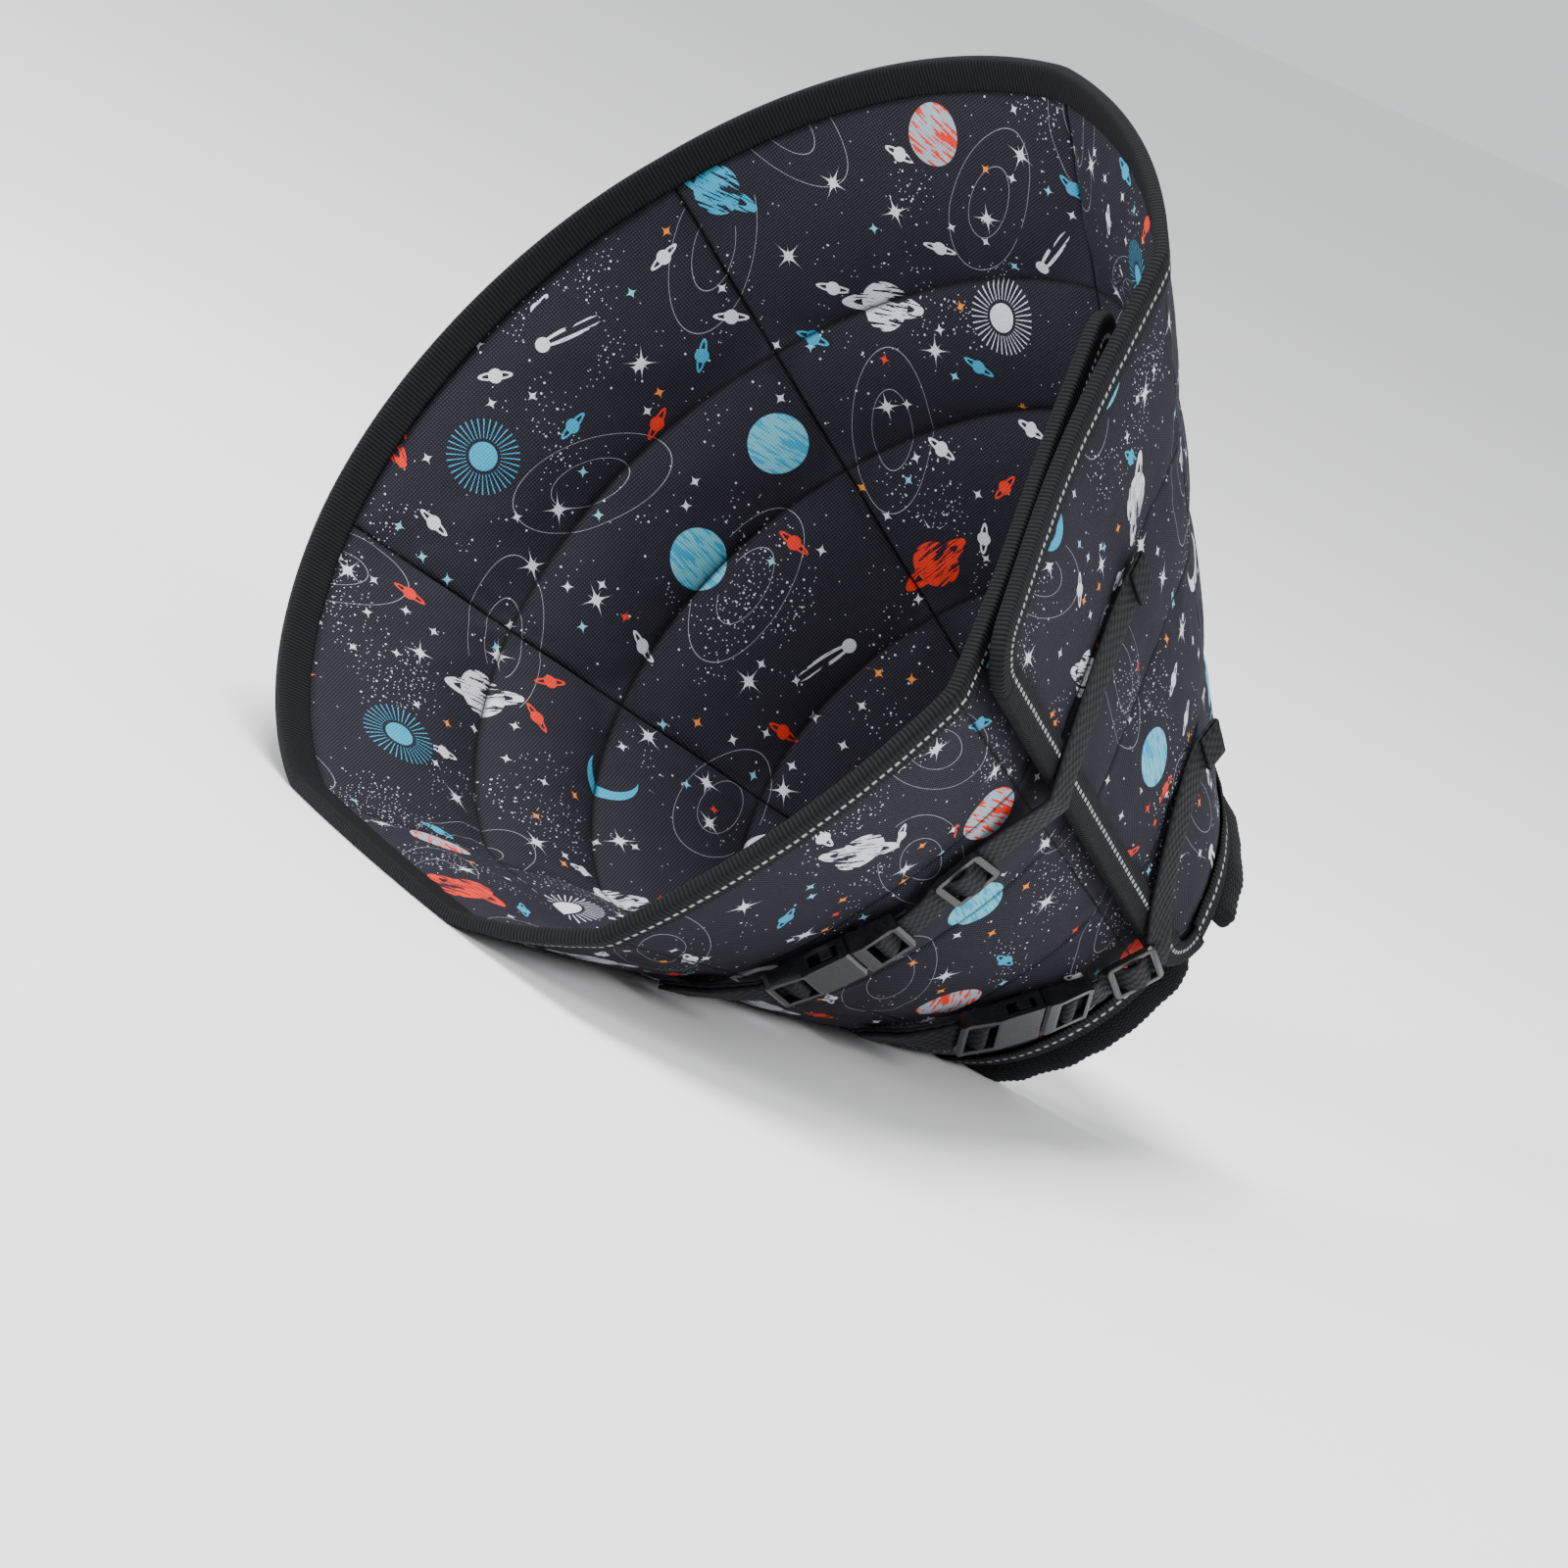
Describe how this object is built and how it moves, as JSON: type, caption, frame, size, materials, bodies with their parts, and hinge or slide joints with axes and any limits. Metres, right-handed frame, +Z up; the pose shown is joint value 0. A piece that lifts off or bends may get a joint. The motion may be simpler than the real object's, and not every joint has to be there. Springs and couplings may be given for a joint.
{
  "type": "soft recovery cone for a dog",
  "caption": "Padded quilted cloth cone that wraps round a dog's head and neck, closed by webbing straps with side-release buckles, with a knit drawcord collar.",
  "frame": {"origin": "on the floor under the middle of the cone as it lies on its side, the drawcord not counted", "axes": "+Z up; the neck end points to +Y and the mouth to -Y; the flap and its straps are on the +X side"},
  "size_m": [0.352, 0.3173, 0.3155],
  "materials": {
    "printed_cloth": "matte woven polyester with a small print",
    "binding_tape": "matte ribbed tape",
    "rib_knit": "matte rib knit",
    "webbing": "woven webbing",
    "cord_braid": "braided cord",
    "buckle_plastic": "glossy",
    "slide_plastic": "satin"
  },
  "bodies": {
    "root": {"quilted_fan": "printed_cloth", "mouth_binding": "binding_tape", "neck_binding": "binding_tape", "flap_edge_binding": "binding_tape", "inner_edge_binding": "binding_tape", "knit_collar": "rib_knit", "upper_tab": "webbing", "upper_strap": "webbing", "upper_buckle_socket": "buckle_plastic", "upper_buckle_plug": "buckle_plastic", "upper_slide": "slide_plastic", "neck_tab": "webbing", "neck_strap": "webbing", "neck_buckle_socket": "buckle_plastic", "neck_buckle_plug": "buckle_plastic", "neck_slide": "slide_plastic", "drawcord": "cord_braid", "cord_lock_body": "buckle_plastic", "cord_lock_button": "buckle_plastic"}
  },
  "joints": []
}
